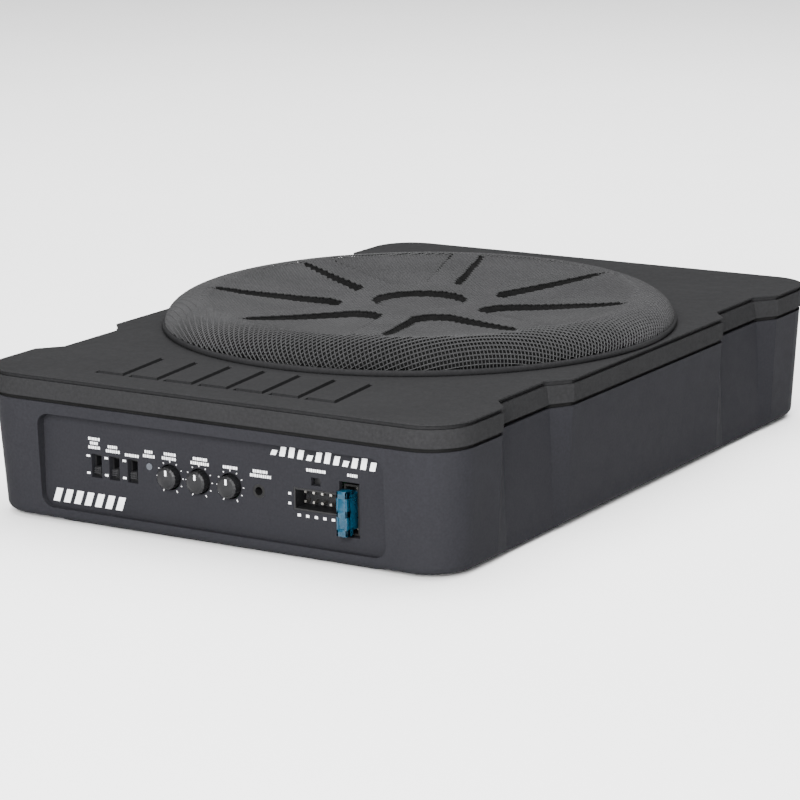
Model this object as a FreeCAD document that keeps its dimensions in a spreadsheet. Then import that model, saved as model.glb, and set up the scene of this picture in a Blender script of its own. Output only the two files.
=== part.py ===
import FreeCAD, Part
import math
import os
import Sketcher

# Powered car subwoofer: a shallow 8 inch woofer, its amplifier and its controls in one low case.
# Origin at the middle of the underside, +X to the right, +Y to the back, +Z up, in millimetres.
# The control panel faces -Y.

SIZES = {
    # case and lid
    "lid_width": 241.0,
    "lid_length": 354.0,
    "lid_top": 66.0,
    "lid_underside": 62.5,
    "seam_height": 55.8,
    "seam_gap": 1.8,
    "corner_radius": 20.0,
    "notch_top_depth": 8.6,
    "notch_groove_depth": 8.3,
    "notch_depth": 6.6,
    "notch_base_depth": 4.4,
    "notch_centre": 103.5,
    "notch_half": 30.5,
    "notch_floor_half": 20.5,
    "body_inset": 0.6,
    "body_draft": 2.6,
    "body_base": 1.5,
    "wall": 4.5,
    "front_wall": 8.0,
    "floor_top": 6.0,
    "base_edge_round": 3.5,
    "groove_top": 65.4,
    "groove_tall": 1.7,
    "groove_depth": 1.3,
    "bulkhead_front": 115.0,
    "bulkhead_back": 111.5,
    "boss_radius": 6.0,
    "lid_screw_radius": 2.0,
    "lid_screw_seat": 40.0,
    "lid_screw_tip": 60.0,
    "lid_screw_head": 3.6,
    "emblem_rise": 0.8,
    "emblem_sink": 0.8,
    "emblem_moat": 1.2,
    # base plate and bracket threads
    "plate_half_width": 88.0,
    "plate_half_length": 168.0,
    "plate_corner": 10.0,
    "bracket_spacing_x": 150.0,
    "bracket_spacing_y": 280.0,
    "bracket_bore": 2.1,
    "insert_radius": 3.2,
    "insert_length": 10.0,
    "stud_height": 5.7,
    # grille
    "grille_radius": 118.0,
    "grille_rise": 14.2,
    "grille_rim": 98.0,
    "grille_hub_rise": 10.0,
    "grille_skin": 1.2,
    "panel_sink": 2.4,
    "spoke_width": 15.5,
    "spoke_turn": 17.0,
    "hub_radius": 21.0,
    "wedge_tip": 37.0,
    "wedge_end": 99.5,
    # woofer
    "frame_radius": 105.0,
    "frame_seat": 62.0,
    "opening_radius": 94.0,
    "frame_thick": 2.0,
    "trim_inner": 97.0,
    "roll_outer": 95.0,
    "roll_inner": 81.0,
    "cone_neck": 26.0,
    "cone_rim_height": 64.0,
    "cone_neck_height": 50.0,
    "cone_thick": 1.2,
    "cap_radius": 40.0,
    "cap_rise": 7.0,
    "coil_inner": 25.3,
    "former_thick": 0.4,
    "winding_thick": 0.9,
    "magnet_bottom": 12.0,
    "yoke_plate": 5.0,
    "magnet_thick": 13.0,
    "top_plate_thick": 6.0,
    "magnet_radius": 58.0,
    "pole_radius": 24.4,
    "spider_height": 44.0,
    "spider_radius": 72.0,
    # control panel
    "panel_face": 171.2,
    "panel_thick": 2.4,
    "panel_half_width": 93.0,
    "panel_low": 6.1,
    "panel_high": 53.0,
    "window_half_width": 88.0,
    "window_low": 6.6,
    "window_high": 49.0,
    "window_corner": 6.0,
    "knob_radius": 5.0,
    "knob_height": 27.2,
    "knob_reach": 3.6,
    "switch_height": 27.3,
    "switch_travel": 2.0,
    "board_face": 160.0,
    "board_thick": 1.6,
    "jack_x": 24.0,
    "jack_height": 26.8,
    "jack_bore": 1.8,
    "plug_x": 52.4,
    "plug_height": 26.0,
    "plug_width": 22.0,
    "plug_tall": 9.6,
    "pin_pitch": 4.2,
    "fuse_x": 68.2,
    "fuse_height": 23.8,
    # amplifier
    "amp_board_height": 12.0,
    "amp_board_half": 90.0,
}

SWITCHES = {"low_pass_switch": -60.0, "phase_switch": -50.6, "input_switch": -40.9}
KNOBS = {"gain": -21.3, "crossover": -6.3, "bass_boost": 9.6}
LED_X = -32.0
LED_HEIGHT = 30.5
LID_SCREWS = [(102, -150), (-102, -150), (102, 150), (-102, 150), (0, 163)] + [
    (side * 107, y) for side in (1, -1) for y in (-62, 62)
]

doc = FreeCAD.newDocument("powered_car_subwoofer")
sheet = doc.addObject("Spreadsheet::Sheet", "sizes")
sub_parts = []


class Size:
    """A number together with the spreadsheet expression that gives it."""

    def __init__(self, value, text):
        self.value = value
        self.text = text

    def __add__(self, other):
        return Size(self.value + number(other), "(%s + %s)" % (self.text, words(other)))

    def __sub__(self, other):
        return Size(self.value - number(other), "(%s - %s)" % (self.text, words(other)))

    def __rsub__(self, other):
        return Size(number(other) - self.value, "(%s - %s)" % (words(other), self.text))

    def __mul__(self, other):
        return Size(self.value * number(other), "(%s * %s)" % (self.text, words(other)))

    def __truediv__(self, other):
        return Size(self.value / number(other), "(%s / %s)" % (self.text, words(other)))

    def __neg__(self):
        return Size(-self.value, "(-1 * %s)" % self.text)

    __radd__ = __add__
    __rmul__ = __mul__


def number(value):
    return value.value if isinstance(value, Size) else float(value)


def words(value):
    return value.text if isinstance(value, Size) else "%.6g" % value


def size(alias):
    return Size(SIZES[alias], "sizes." + alias)


def fill_sheet():
    for row, (alias, value) in enumerate(SIZES.items(), start=1):
        sheet.set("A%d" % row, alias)
        sheet.set("B%d" % row, "%.6g" % value)
        sheet.setAlias("B%d" % row, alias)
    doc.recompute()


def bind(item, path, value):
    item.setExpression(path, words(value))


def place(item, x, y, z, axis="z"):
    turns = {
        "z": FreeCAD.Rotation(),
        "x": FreeCAD.Rotation(FreeCAD.Vector(0, 1, 0), 90),
        "y": FreeCAD.Rotation(FreeCAD.Vector(1, 0, 0), -90),
        "-y": FreeCAD.Rotation(FreeCAD.Vector(1, 0, 0), 90),
    }
    spot = FreeCAD.Vector(number(x), number(y), number(z))
    item.Placement = FreeCAD.Placement(spot, turns[axis])
    for letter, value in zip("xyz", (x, y, z)):
        bind(item, "Placement.Base." + letter, value)
    return item


def keep(item, label):
    item.Label = label
    sub_parts.append(item)
    return item


# Part primitives and booleans


def block(wide, deep, tall, x, y, z):
    """A box centred on x and y that stands on z."""
    item = doc.addObject("Part::Box", "block")
    bind(item, "Length", wide)
    bind(item, "Width", deep)
    bind(item, "Height", tall)
    return place(item, x - wide / 2, y - deep / 2, z)


def rod(radius, tall, x, y, z, axis="z"):
    item = doc.addObject("Part::Cylinder", "rod")
    bind(item, "Radius", radius)
    bind(item, "Height", tall)
    return place(item, x, y, z, axis)


def taper(low_radius, high_radius, tall, x, y, z, axis="z"):
    item = doc.addObject("Part::Cone", "taper")
    bind(item, "Radius1", low_radius)
    bind(item, "Radius2", high_radius)
    bind(item, "Height", tall)
    return place(item, x, y, z, axis)


def ball(radius, x, y, z):
    item = doc.addObject("Part::Sphere", "ball")
    bind(item, "Radius", radius)
    return place(item, x, y, z)


def torus(ring_radius, tube_radius, x, y, z):
    item = doc.addObject("Part::Torus", "torus")
    bind(item, "Radius1", ring_radius)
    bind(item, "Radius2", tube_radius)
    return place(item, x, y, z)


def join(*pieces):
    if len(pieces) == 1:
        return pieces[0]
    item = doc.addObject("Part::MultiFuse", "join")
    item.Shapes = list(pieces)
    return item


def minus(base, *tools):
    item = doc.addObject("Part::Cut", "minus")
    item.Base = base
    item.Tool = join(*tools)
    return item


def overlap(first, second):
    item = doc.addObject("Part::MultiCommon", "overlap")
    item.Shapes = [first, second]
    return item


def group(*pieces):
    """Separate solids kept together in one sub-part."""
    item = doc.addObject("Part::Compound", "group")
    item.Links = list(pieces)
    return item


# PartDesign bodies


def new_body(name):
    return doc.addObject("PartDesign::Body", name)


def origin_plane(body, role):
    return [item for item in body.Origin.OriginFeatures if item.Role == role][0]


def new_sketch(body, role, offset=0):
    sketch = body.newObject("Sketcher::SketchObject", "sketch")
    sketch.AttachmentSupport = [(origin_plane(body, role), "")]
    sketch.MapMode = "FlatFace"
    bind(sketch, "AttachmentOffset.Base.z", offset)
    return sketch


def pin(sketch, geometry, point, spot):
    """Fixes a point of a sketch at a place that the spreadsheet gives."""
    for axis, value in zip(("DistanceX", "DistanceY"), spot):
        where = Sketcher.Constraint(axis, -1, 1, geometry, point, number(value))
        index = sketch.addConstraint(where)
        bind(sketch, "Constraints[%d]" % index, value)


def polygon(sketch, corners, radius=None, rounded=()):
    """A closed outline; the corners whose indices are in rounded become arcs of that radius."""
    pieces = []
    for index, corner in enumerate(corners):
        if index in rounded:
            before = corners[index - 1]
            after = corners[(index + 1) % len(corners)]
            pieces.append((towards(corner, before, radius), towards(corner, after, radius)))
        else:
            pieces.append((corner,))
    ends = []
    for piece in pieces:
        ends.extend(piece)
    first = sketch.GeometryCount
    arcs = set()
    spot = 0
    for piece in pieces:
        if len(piece) == 2:
            arcs.add(spot)
        spot += len(piece)
    count = len(ends)
    for index in range(count):
        low, high = (plan_point(ends[turn % count]) for turn in (index, index + 1))
        if index in arcs:
            sketch.addGeometry(quarter_arc(low, high, number(radius)), False)
        else:
            sketch.addGeometry(Part.LineSegment(low, high), False)
    for index in range(count):
        geometry = first + index
        following = first + (index + 1) % count
        near, far = (1, 2) if index not in arcs else arc_ends(sketch, geometry, plan_point(ends[index]))
        next_near = 1
        if (index + 1) % count in arcs:
            next_near = arc_ends(sketch, following, plan_point(ends[(index + 1) % count]))[0]
        sketch.addConstraint(Sketcher.Constraint("Coincident", geometry, far, following, next_near))
        pin(sketch, geometry, near, ends[index])
        if index in arcs:
            limit = sketch.addConstraint(Sketcher.Constraint("Radius", geometry, number(radius)))
            bind(sketch, "Constraints[%d]" % limit, radius)


def plan_point(spot):
    return FreeCAD.Vector(number(spot[0]), number(spot[1]), 0)


def towards(corner, other, distance):
    """The point at distance from corner on the way to other, for a side along X or Y."""
    along_x = abs(number(other[1]) - number(corner[1])) < 1e-6
    axis = 0 if along_x else 1
    sign = 1 if number(other[axis]) > number(corner[axis]) else -1
    moved = list(corner)
    moved[axis] = corner[axis] + distance * sign
    return tuple(moved)


def quarter_arc(low, high, radius):
    """The quarter circle from low to high, for an outline that runs anticlockwise."""
    middle = (low + high) / 2
    chord = high - low
    outwards = FreeCAD.Vector(chord.y, -chord.x, 0).normalize()
    return Part.Arc(low, middle + outwards * (radius * (1 - math.sqrt(0.5))), high)


def arc_ends(sketch, geometry, low):
    """Which ends of the arc lie at low and away from it, as Sketcher numbers them."""
    at_start = sketch.getPoint(geometry, 1).distanceToPoint(low) < 1e-3
    return (1, 2) if at_start else (2, 1)


def rectangle(sketch, x0, x1, y0, y1):
    polygon(sketch, [(x0, y0), (x1, y0), (x1, y1), (x0, y1)])


def circle(sketch, x, y, radius):
    centre = FreeCAD.Vector(number(x), number(y), 0)
    shape = Part.Circle(centre, FreeCAD.Vector(0, 0, 1), number(radius))
    index = sketch.addGeometry(shape, False)
    pin(sketch, index, 3, (x, y))
    limit = sketch.addConstraint(Sketcher.Constraint("Radius", index, number(radius)))
    bind(sketch, "Constraints[%d]" % limit, radius)


def pad(body, sketch, length, reverse=False):
    feature = body.newObject("PartDesign::Pad", "pad")
    feature.Profile = sketch
    bind(feature, "Length", length)
    feature.Reversed = reverse
    return finish(body, feature)


def pocket(body, sketch, length, reverse=False):
    before = body.Shape.Volume
    feature = body.newObject("PartDesign::Pocket", "pocket")
    feature.Profile = sketch
    bind(feature, "Length", length)
    feature.Reversed = reverse
    finish(body, feature)
    if body.Shape.Volume > before - 0.01:
        raise RuntimeError("a pocket in %s cuts nothing" % body.Label)
    return feature


def draft_sides(body, feature, lean, tall):
    """Leans the side faces inwards towards the base, by lean over the height tall."""
    sides = [
        "Face%d" % (index + 1)
        for index, face in enumerate(feature.Shape.Faces)
        if abs(face.normalAt(0, 0).z) < 0.1
    ]
    draft = body.newObject("PartDesign::Draft", "draft")
    draft.Base = (feature, sides)
    top = [
        "Face%d" % (index + 1)
        for index, face in enumerate(feature.Shape.Faces)
        if face.normalAt(0, 0).z > 0.9
    ]
    draft.NeutralPlane = (feature, top)
    draft.Reversed = True
    bind(draft, "Angle", Size(math.degrees(math.atan(number(lean) / number(tall))),
                              "atan(%s / %s)" % (words(lean), words(tall))))
    return finish(body, draft)


def revolve(body, sketch):
    feature = body.newObject("PartDesign::Revolution", "revolution")
    feature.Profile = sketch
    feature.ReferenceAxis = (sketch, ["V_Axis"])
    feature.Angle = 360
    return finish(body, feature)


def finish(body, feature):
    body.Tip = feature
    doc.recompute()
    return feature


def round_edges(body, feature, radius, chosen):
    """Fillets the edges of the body's last feature for which chosen(edge) holds."""
    edges = [
        "Edge%d" % (index + 1)
        for index, edge in enumerate(feature.Shape.Edges)
        if chosen(edge)
    ]
    fillet = body.newObject("PartDesign::Fillet", "fillet")
    fillet.Base = (feature, edges)
    bind(fillet, "Radius", radius)
    return finish(body, fillet)


def steep(edge):
    """True for an edge that runs nearly straight up."""
    if len(edge.Vertexes) != 2:
        return False
    run = edge.Vertexes[1].Point - edge.Vertexes[0].Point
    return abs(run.z) > 0.9 * run.Length


def turned(label, profile):
    """A body turned about its Z axis from corners given as radius and height."""
    body = new_body(label)
    sketch = new_sketch(body, "XZ_Plane")
    polygon(sketch, profile)
    revolve(body, sketch)
    return keep(body, label)


# Case


def notched_outline(inset, front=None, depth="notch_depth"):
    """Corners of the lid's outline, moved in by inset, with a shallow notch pair on each long side."""
    half_width = size("lid_width") / 2 - inset
    half_length = size("lid_length") / 2 - inset
    front_y = half_length if front is None else size("lid_length") / 2 - front
    floor_x = half_width - size(depth)
    centre = size("notch_centre")
    outer = size("notch_half")
    inner = size("notch_floor_half")
    steps = [
        (half_width, centre + outer),
        (floor_x, centre + inner),
        (floor_x, centre - inner),
        (half_width, centre - outer),
    ]
    right_back = [(x, y) for x, y in reversed(steps)]
    right_front = [(x, -y) for x, y in steps]
    right = [(half_width, -front_y)] + right_front + right_back + [(half_width, half_length)]
    left = [(-x, y) for x, y in reversed(right)]
    return right + left


def draw_case_outline(sketch, inset, front=None, depth="notch_depth"):
    """The notched outline with its four outer corners rounded about the lid's own corner centres."""
    corners = notched_outline(inset, front, depth)
    half = len(corners) // 2
    ends = (0, half - 1, half, len(corners) - 1)
    polygon(sketch, corners, size("corner_radius") - inset, ends)


def cut_notches(body, levels):
    """Cuts the four side notches between two levels, each the height, wall's X and notch floor's X."""
    outside = size("lid_width") / 2 + 5
    for side_x, side_y in ((1, 1), (1, -1), (-1, 1), (-1, -1)):
        sections = []
        for height, edge, floor_x in levels:
            outline = []
            for x, half in (
                (outside, size("notch_half")),
                (edge, size("notch_half")),
                (floor_x, size("notch_floor_half")),
            ):
                outline.append((side_x * x, side_y * (size("notch_centre") + half)))
            for x, half in (
                (floor_x, size("notch_floor_half")),
                (edge, size("notch_half")),
                (outside, size("notch_half")),
            ):
                outline.append((side_x * x, side_y * (size("notch_centre") - half)))
            section = new_sketch(body, "XY_Plane", height)
            polygon(section, outline)
            sections.append(section)
        cutter = body.newObject("PartDesign::SubtractiveLoft", "notch")
        cutter.Profile = sections[0]
        cutter.Sections = sections[1:]
        cutter.Ruled = True
        finish(body, cutter)


def at_corner(edge):
    """True for a steep edge at one of the outline's four outer corners."""
    return steep(edge) and abs(edge.Vertexes[0].Point.y) > 160


def at_base(edge):
    return edge.BoundBox.ZMax < SIZES["body_base"] + 0.1


def make_body():
    body = new_body("enclosure_body")
    top = size("seam_height") - size("seam_gap")
    base = size("body_base")
    outline = new_sketch(body, "XY_Plane", base)
    half_width = size("lid_width") / 2 - size("body_inset")
    half_length = size("lid_length") / 2 - size("body_inset")
    rectangle(outline, -half_width, half_width, -half_length, half_length)
    shell = pad(body, outline, top - base)
    shell = draft_sides(body, shell, size("body_draft"), top - base)
    shell = round_edges(body, shell, size("corner_radius"), at_corner)
    round_edges(body, shell, size("base_edge_round"), at_base)
    edge = size("lid_width") / 2
    wall_base = half_width - size("body_draft")
    levels = [
        (base, wall_base, edge - size("notch_base_depth")),
        (top, half_width, edge - size("notch_depth")),
    ]
    cut_notches(body, levels)

    hollow = new_sketch(body, "XY_Plane", top)
    wall = size("body_inset") + size("wall")
    draw_case_outline(hollow, wall, size("body_inset") + size("front_wall"))
    pocket(body, hollow, top - size("floor_top"))

    bulkhead = new_sketch(body, "XY_Plane", size("floor_top"))
    reach = size("lid_width") / 2 - size("notch_depth") - 2
    rectangle(bulkhead, -reach, reach, -size("bulkhead_front"), -size("bulkhead_back"))
    pad(body, bulkhead, top - size("floor_top"))

    bosses = new_sketch(body, "XY_Plane", size("floor_top"))
    for x, y in LID_SCREWS:
        circle(bosses, x, y, size("boss_radius"))
    pad(body, bosses, top - size("floor_top"))

    for radius, height in (
        (size("lid_screw_head") + 0.4, size("lid_screw_seat")),
        (size("lid_screw_radius") + 0.2, top),
    ):
        holes = new_sketch(body, "XY_Plane")
        for x, y in LID_SCREWS:
            circle(holes, x, y, radius)
        pocket(body, holes, height, reverse=True)

    studs = new_sketch(body, "XY_Plane", size("floor_top"))
    for x, y in bracket_spots():
        circle(studs, x, y, size("boss_radius"))
    pad(body, studs, size("stud_height"))
    sockets = new_sketch(body, "XY_Plane")
    for x, y in bracket_spots():
        circle(sockets, x, y, size("insert_radius"))
    pocket(body, sockets, size("body_base") + size("insert_length"), reverse=True)

    seat = new_sketch(body, "XZ_Plane", size("panel_face"))
    edge = size("panel_half_width") + 0.3
    rectangle(seat, -edge, edge, size("floor_top"), top)
    pocket(body, seat, 12)
    window = new_sketch(body, "XZ_Plane", size("lid_length") / 2 + 5)
    side = size("window_half_width")
    rectangle(window, -side, side, size("window_low"), size("window_high"))
    cutout = pocket(body, window, 20)
    round_edges(body, cutout, size("window_corner"), at_window_corner)

    pilots = new_sketch(body, "XZ_Plane", size("panel_face"))
    for x, z in panel_screw_spots():
        circle(pilots, x, z, 1.25)
    pocket(body, pilots, 2.8, reverse=True)

    threads = new_sketch(body, "XY_Plane")
    for x, y in plate_screw_spots():
        circle(threads, x, y, 1.5)
    pocket(body, threads, size("floor_top") - 0.5, reverse=True)
    keep(body, "enclosure_body")


def at_window_corner(edge):
    """True for the window's corner edges, which run straight back through the front wall."""
    if len(edge.Vertexes) != 2:
        return False
    low, high = (vertex.Point for vertex in edge.Vertexes)
    run = high - low
    beside = abs(abs(low.x) - SIZES["window_half_width"]) < 0.2
    level = min(abs(low.z - SIZES["window_low"]), abs(low.z - SIZES["window_high"])) < 0.2
    return beside and level and abs(run.y) > 0.95 * run.Length


def bracket_spots():
    across = size("bracket_spacing_x") / 2
    along = size("bracket_spacing_y") / 2
    return [(sx * across, sy * along) for sx in (1, -1) for sy in (1, -1)]


def plate_screw_spots():
    edge_x = size("plate_half_width") - 6
    edge_y = size("plate_half_length") - 6
    corners = [(sx * edge_x, sy * edge_y) for sx in (1, -1) for sy in (1, -1)]
    middles = [(sx * edge_x, 0) for sx in (1, -1)] + [(0, sy * edge_y) for sy in (1, -1)]
    return corners + middles


def make_lid():
    body = new_body("top_lid")
    seam = size("seam_height")
    outline = new_sketch(body, "XY_Plane", seam)
    half_width = size("lid_width") / 2
    half_length = size("lid_length") / 2
    rectangle(outline, -half_width, half_width, -half_length, half_length)
    lid = pad(body, outline, size("lid_top") - seam)
    round_edges(body, lid, size("corner_radius"), at_corner)
    levels = [
        (seam, half_width, half_width - size("notch_depth")),
        (size("lid_top"), half_width, half_width - size("notch_top_depth")),
    ]
    cut_notches(body, levels)

    hollow = new_sketch(body, "XY_Plane", seam)
    draw_case_outline(hollow, size("wall"))
    pocket(body, hollow, size("lid_underside") - seam, reverse=True)
    groove = new_sketch(body, "XY_Plane", size("groove_top"))
    rectangle(groove, -half_width - 5, half_width + 5, -half_length - 5, half_length + 5)
    draw_case_outline(groove, size("groove_depth"), depth="notch_groove_depth")
    pocket(body, groove, size("groove_tall"))

    collar = new_sketch(body, "XY_Plane", size("frame_seat") - 4)
    circle(collar, 0, 0, size("frame_radius") + 4)
    pad(body, collar, size("lid_top") - size("frame_seat") + 4)
    bosses = new_sketch(body, "XY_Plane", seam)
    for x, y in LID_SCREWS:
        circle(bosses, x, y, size("boss_radius"))
    pad(body, bosses, size("lid_top") - seam)

    recess = new_sketch(body, "XY_Plane", size("lid_top"))
    circle(recess, 0, 0, size("frame_radius") + 0.6)
    pocket(body, recess, size("lid_top") - size("frame_seat"))
    opening = new_sketch(body, "XY_Plane", size("lid_top"))
    circle(opening, 0, 0, size("opening_radius"))
    pocket(body, opening, 20)

    pilots = new_sketch(body, "XY_Plane", seam)
    for x, y in LID_SCREWS:
        circle(pilots, x, y, size("lid_screw_radius"))
    pocket(body, pilots, size("lid_screw_tip") - seam + 0.5, reverse=True)
    screws = new_sketch(body, "XY_Plane", size("lid_top"))
    for x, y in woofer_screw_spots():
        circle(screws, x, y, 1.8)
    pocket(body, screws, 20)

    moats = new_sketch(body, "XY_Plane", size("lid_top"))
    for bar in emblem_bars(size("emblem_moat")):
        polygon(moats, bar)
    pocket(body, moats, size("emblem_sink"))
    emblem = new_sketch(body, "XY_Plane", size("lid_top") - size("emblem_sink"))
    for bar in emblem_bars(0):
        polygon(emblem, bar)
    pad(body, emblem, size("emblem_sink") + size("emblem_rise"))
    keep(body, "top_lid")


def emblem_bars(spread):
    """Seven plain slanted bars, as corner lists, for the raised mark on the lid, each grown by spread."""
    bars = []
    for index in range(7):
        left = -66.0 + 18.0 * index
        near = -160 - spread
        far = -126 + spread
        bars.append([
            (left - spread, near),
            (left + 13 + spread, near),
            (left + 9 + spread, far),
            (left - 4 - spread, far),
        ])
    return bars


def woofer_screw_spots():
    circle_radius = 101.0
    angles = [math.radians(22.5 + 45 * index) for index in range(8)]
    return [(circle_radius * math.cos(turn), circle_radius * math.sin(turn)) for turn in angles]


def make_seam_gasket():
    body = new_body("lid_gasket")
    sketch = new_sketch(body, "XY_Plane", size("seam_height") - size("seam_gap"))
    draw_case_outline(sketch, size("body_inset") + 1.2)
    draw_case_outline(sketch, size("wall"))
    pad(body, sketch, size("seam_gap"))
    keep(body, "lid_gasket")


def screw(head_radius, head_tall, radius, length, x, y, z, axis="z", recess=1.0):
    """A pan-head screw whose head stands on z and whose shank runs on from it; the drive is a square."""
    head = rod(head_radius, head_tall, 0, 0, -head_tall)
    shank = rod(radius, length, 0, 0, 0)
    drive = block(head_radius * 0.7, head_radius * 0.7, recess, 0, 0, -head_tall)
    return place(minus(join(head, shank), drive), x, y, z, axis)


def screw_down(head_radius, head_tall, radius, length, x, y, z):
    """The same screw, turned over so that its head is on top."""
    item = screw(head_radius, head_tall, radius, length, x, y, z)
    turn = FreeCAD.Rotation(FreeCAD.Vector(1, 0, 0), 180)
    item.Placement = FreeCAD.Placement(FreeCAD.Vector(number(x), number(y), number(z)), turn)
    return item


def make_case_hardware():
    shank = size("lid_screw_tip") - size("lid_screw_seat")
    lid_screws = [
        screw(size("lid_screw_head"), 3, size("lid_screw_radius"), shank, x, y, size("lid_screw_seat"))
        for x, y in LID_SCREWS
    ]
    keep(group(*lid_screws), "lid_screws")

    plate = new_body("base_plate")
    sketch = new_sketch(plate, "XY_Plane")
    wide = size("plate_half_width")
    long = size("plate_half_length")
    rectangle(sketch, -wide, wide, -long, long)
    sheet_metal = pad(plate, sketch, size("body_base"))
    round_edges(plate, sheet_metal, size("plate_corner"), steep)
    holes = new_sketch(plate, "XY_Plane")
    for x, y in plate_screw_spots():
        circle(holes, x, y, 3.0)
    for x, y in bracket_spots():
        circle(holes, x, y, 4.5)
    pocket(plate, holes, 5, reverse=True)
    keep(plate, "base_plate")

    base_screws = []
    for x, y in plate_screw_spots():
        head = taper(2.9, 1.5, size("body_base"), x, y, 0)
        shank = rod(1.5, 3.6, x, y, size("body_base"))
        drive = block(1.8, 1.8, 0.8, x, y, 0)
        base_screws.append(minus(join(head, shank), drive))
    keep(group(*base_screws), "base_plate_screws")

    inserts = []
    for x, y in bracket_spots():
        shell = rod(size("insert_radius"), size("insert_length"), x, y, size("body_base"))
        bore = rod(size("bracket_bore"), size("insert_length"), x, y, size("body_base"))
        inserts.append(minus(shell, bore))
    keep(group(*inserts), "bracket_thread_inserts")


# Grille


def grille_solid(drop, widen):
    """The solid under the grille's top surface, lowered by drop, with its panels sunk and widened."""
    radius = SIZES["grille_radius"] - drop
    rise = SIZES["grille_rise"] - drop
    rim = SIZES["grille_rim"]
    hub = SIZES["grille_hub_rise"] - drop

    def dome(sink):
        def point(r, z):
            return FreeCAD.Vector(r, 0, z)

        shoulder = Part.Arc(
            point(radius, 2.5), point(radius - 5.2, 9.2 - drop), point(rim, rise)
        )
        dish = Part.Arc(
            point(rim, rise - sink), point(52, (rise + hub) / 2 - 1.2 - sink), point(0, hub - sink)
        )
        path = [
            Part.LineSegment(point(0, 0), point(radius, 0)),
            Part.LineSegment(point(radius, 0), point(radius, 2.5)),
            shoulder,
            dish,
            Part.LineSegment(point(0, hub - sink), point(0, 0)),
        ]
        if sink:
            path.insert(3, Part.LineSegment(point(rim, rise), point(rim, rise - sink)))
        face = Part.Face(Part.Wire([curve.toShape() for curve in path]))
        return face.revolve(FreeCAD.Vector(), FreeCAD.Vector(0, 0, 1), 360)

    wells = Part.makeCylinder(SIZES["hub_radius"] + widen, 40)
    for index in range(8):
        turn = SIZES["spoke_turn"] + 22.5 + 45 * index
        wells = wells.fuse(wedge(widen).rotate(FreeCAD.Vector(), FreeCAD.Vector(0, 0, 1), turn))
    sunk = dome(SIZES["panel_sink"]).common(wells)
    return dome(0).cut(wells).fuse(sunk)


def wedge(widen):
    """A prism over one sunken panel, between two spokes and pointing along +X."""
    half = math.radians(22.5)
    side = SIZES["spoke_width"] / 2 - widen
    tip = side / math.sin(half)
    reach = SIZES["wedge_end"]
    far = reach + 30
    spread = (far - tip) * math.tan(half)
    corners = [(tip, 0), (far, -spread), (far, spread)]
    outline = Part.makePolygon([FreeCAD.Vector(x, y, 0) for x, y in corners + corners[:1]])
    prism = Part.Face(outline).extrude(FreeCAD.Vector(0, 0, 40))
    inside = Part.makeCylinder(reach - 1.5 + widen, 40)
    outside = Part.makeCylinder(SIZES["wedge_tip"] - widen, 40)
    return prism.common(inside).cut(outside)


def make_grille():
    skin = SIZES["grille_skin"]
    shell = grille_solid(0, 0).cut(grille_solid(skin, skin))
    item = doc.addObject("Part::Feature", "grille")
    item.Shape = shell.removeSplitter()
    place(item, 0, 0, size("lid_top"))
    keep(item, "woofer_grille")

    # The grille's rim is crimped into a thin ring that is bonded to the lid.
    radius = size("grille_radius")
    keep(
        minus(
            rod(radius + 1.2, 1.6, 0, 0, size("lid_top")),
            rod(radius + 0.02, 1.6, 0, 0, size("lid_top")),
        ),
        "grille_ring",
    )


# Woofer


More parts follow.
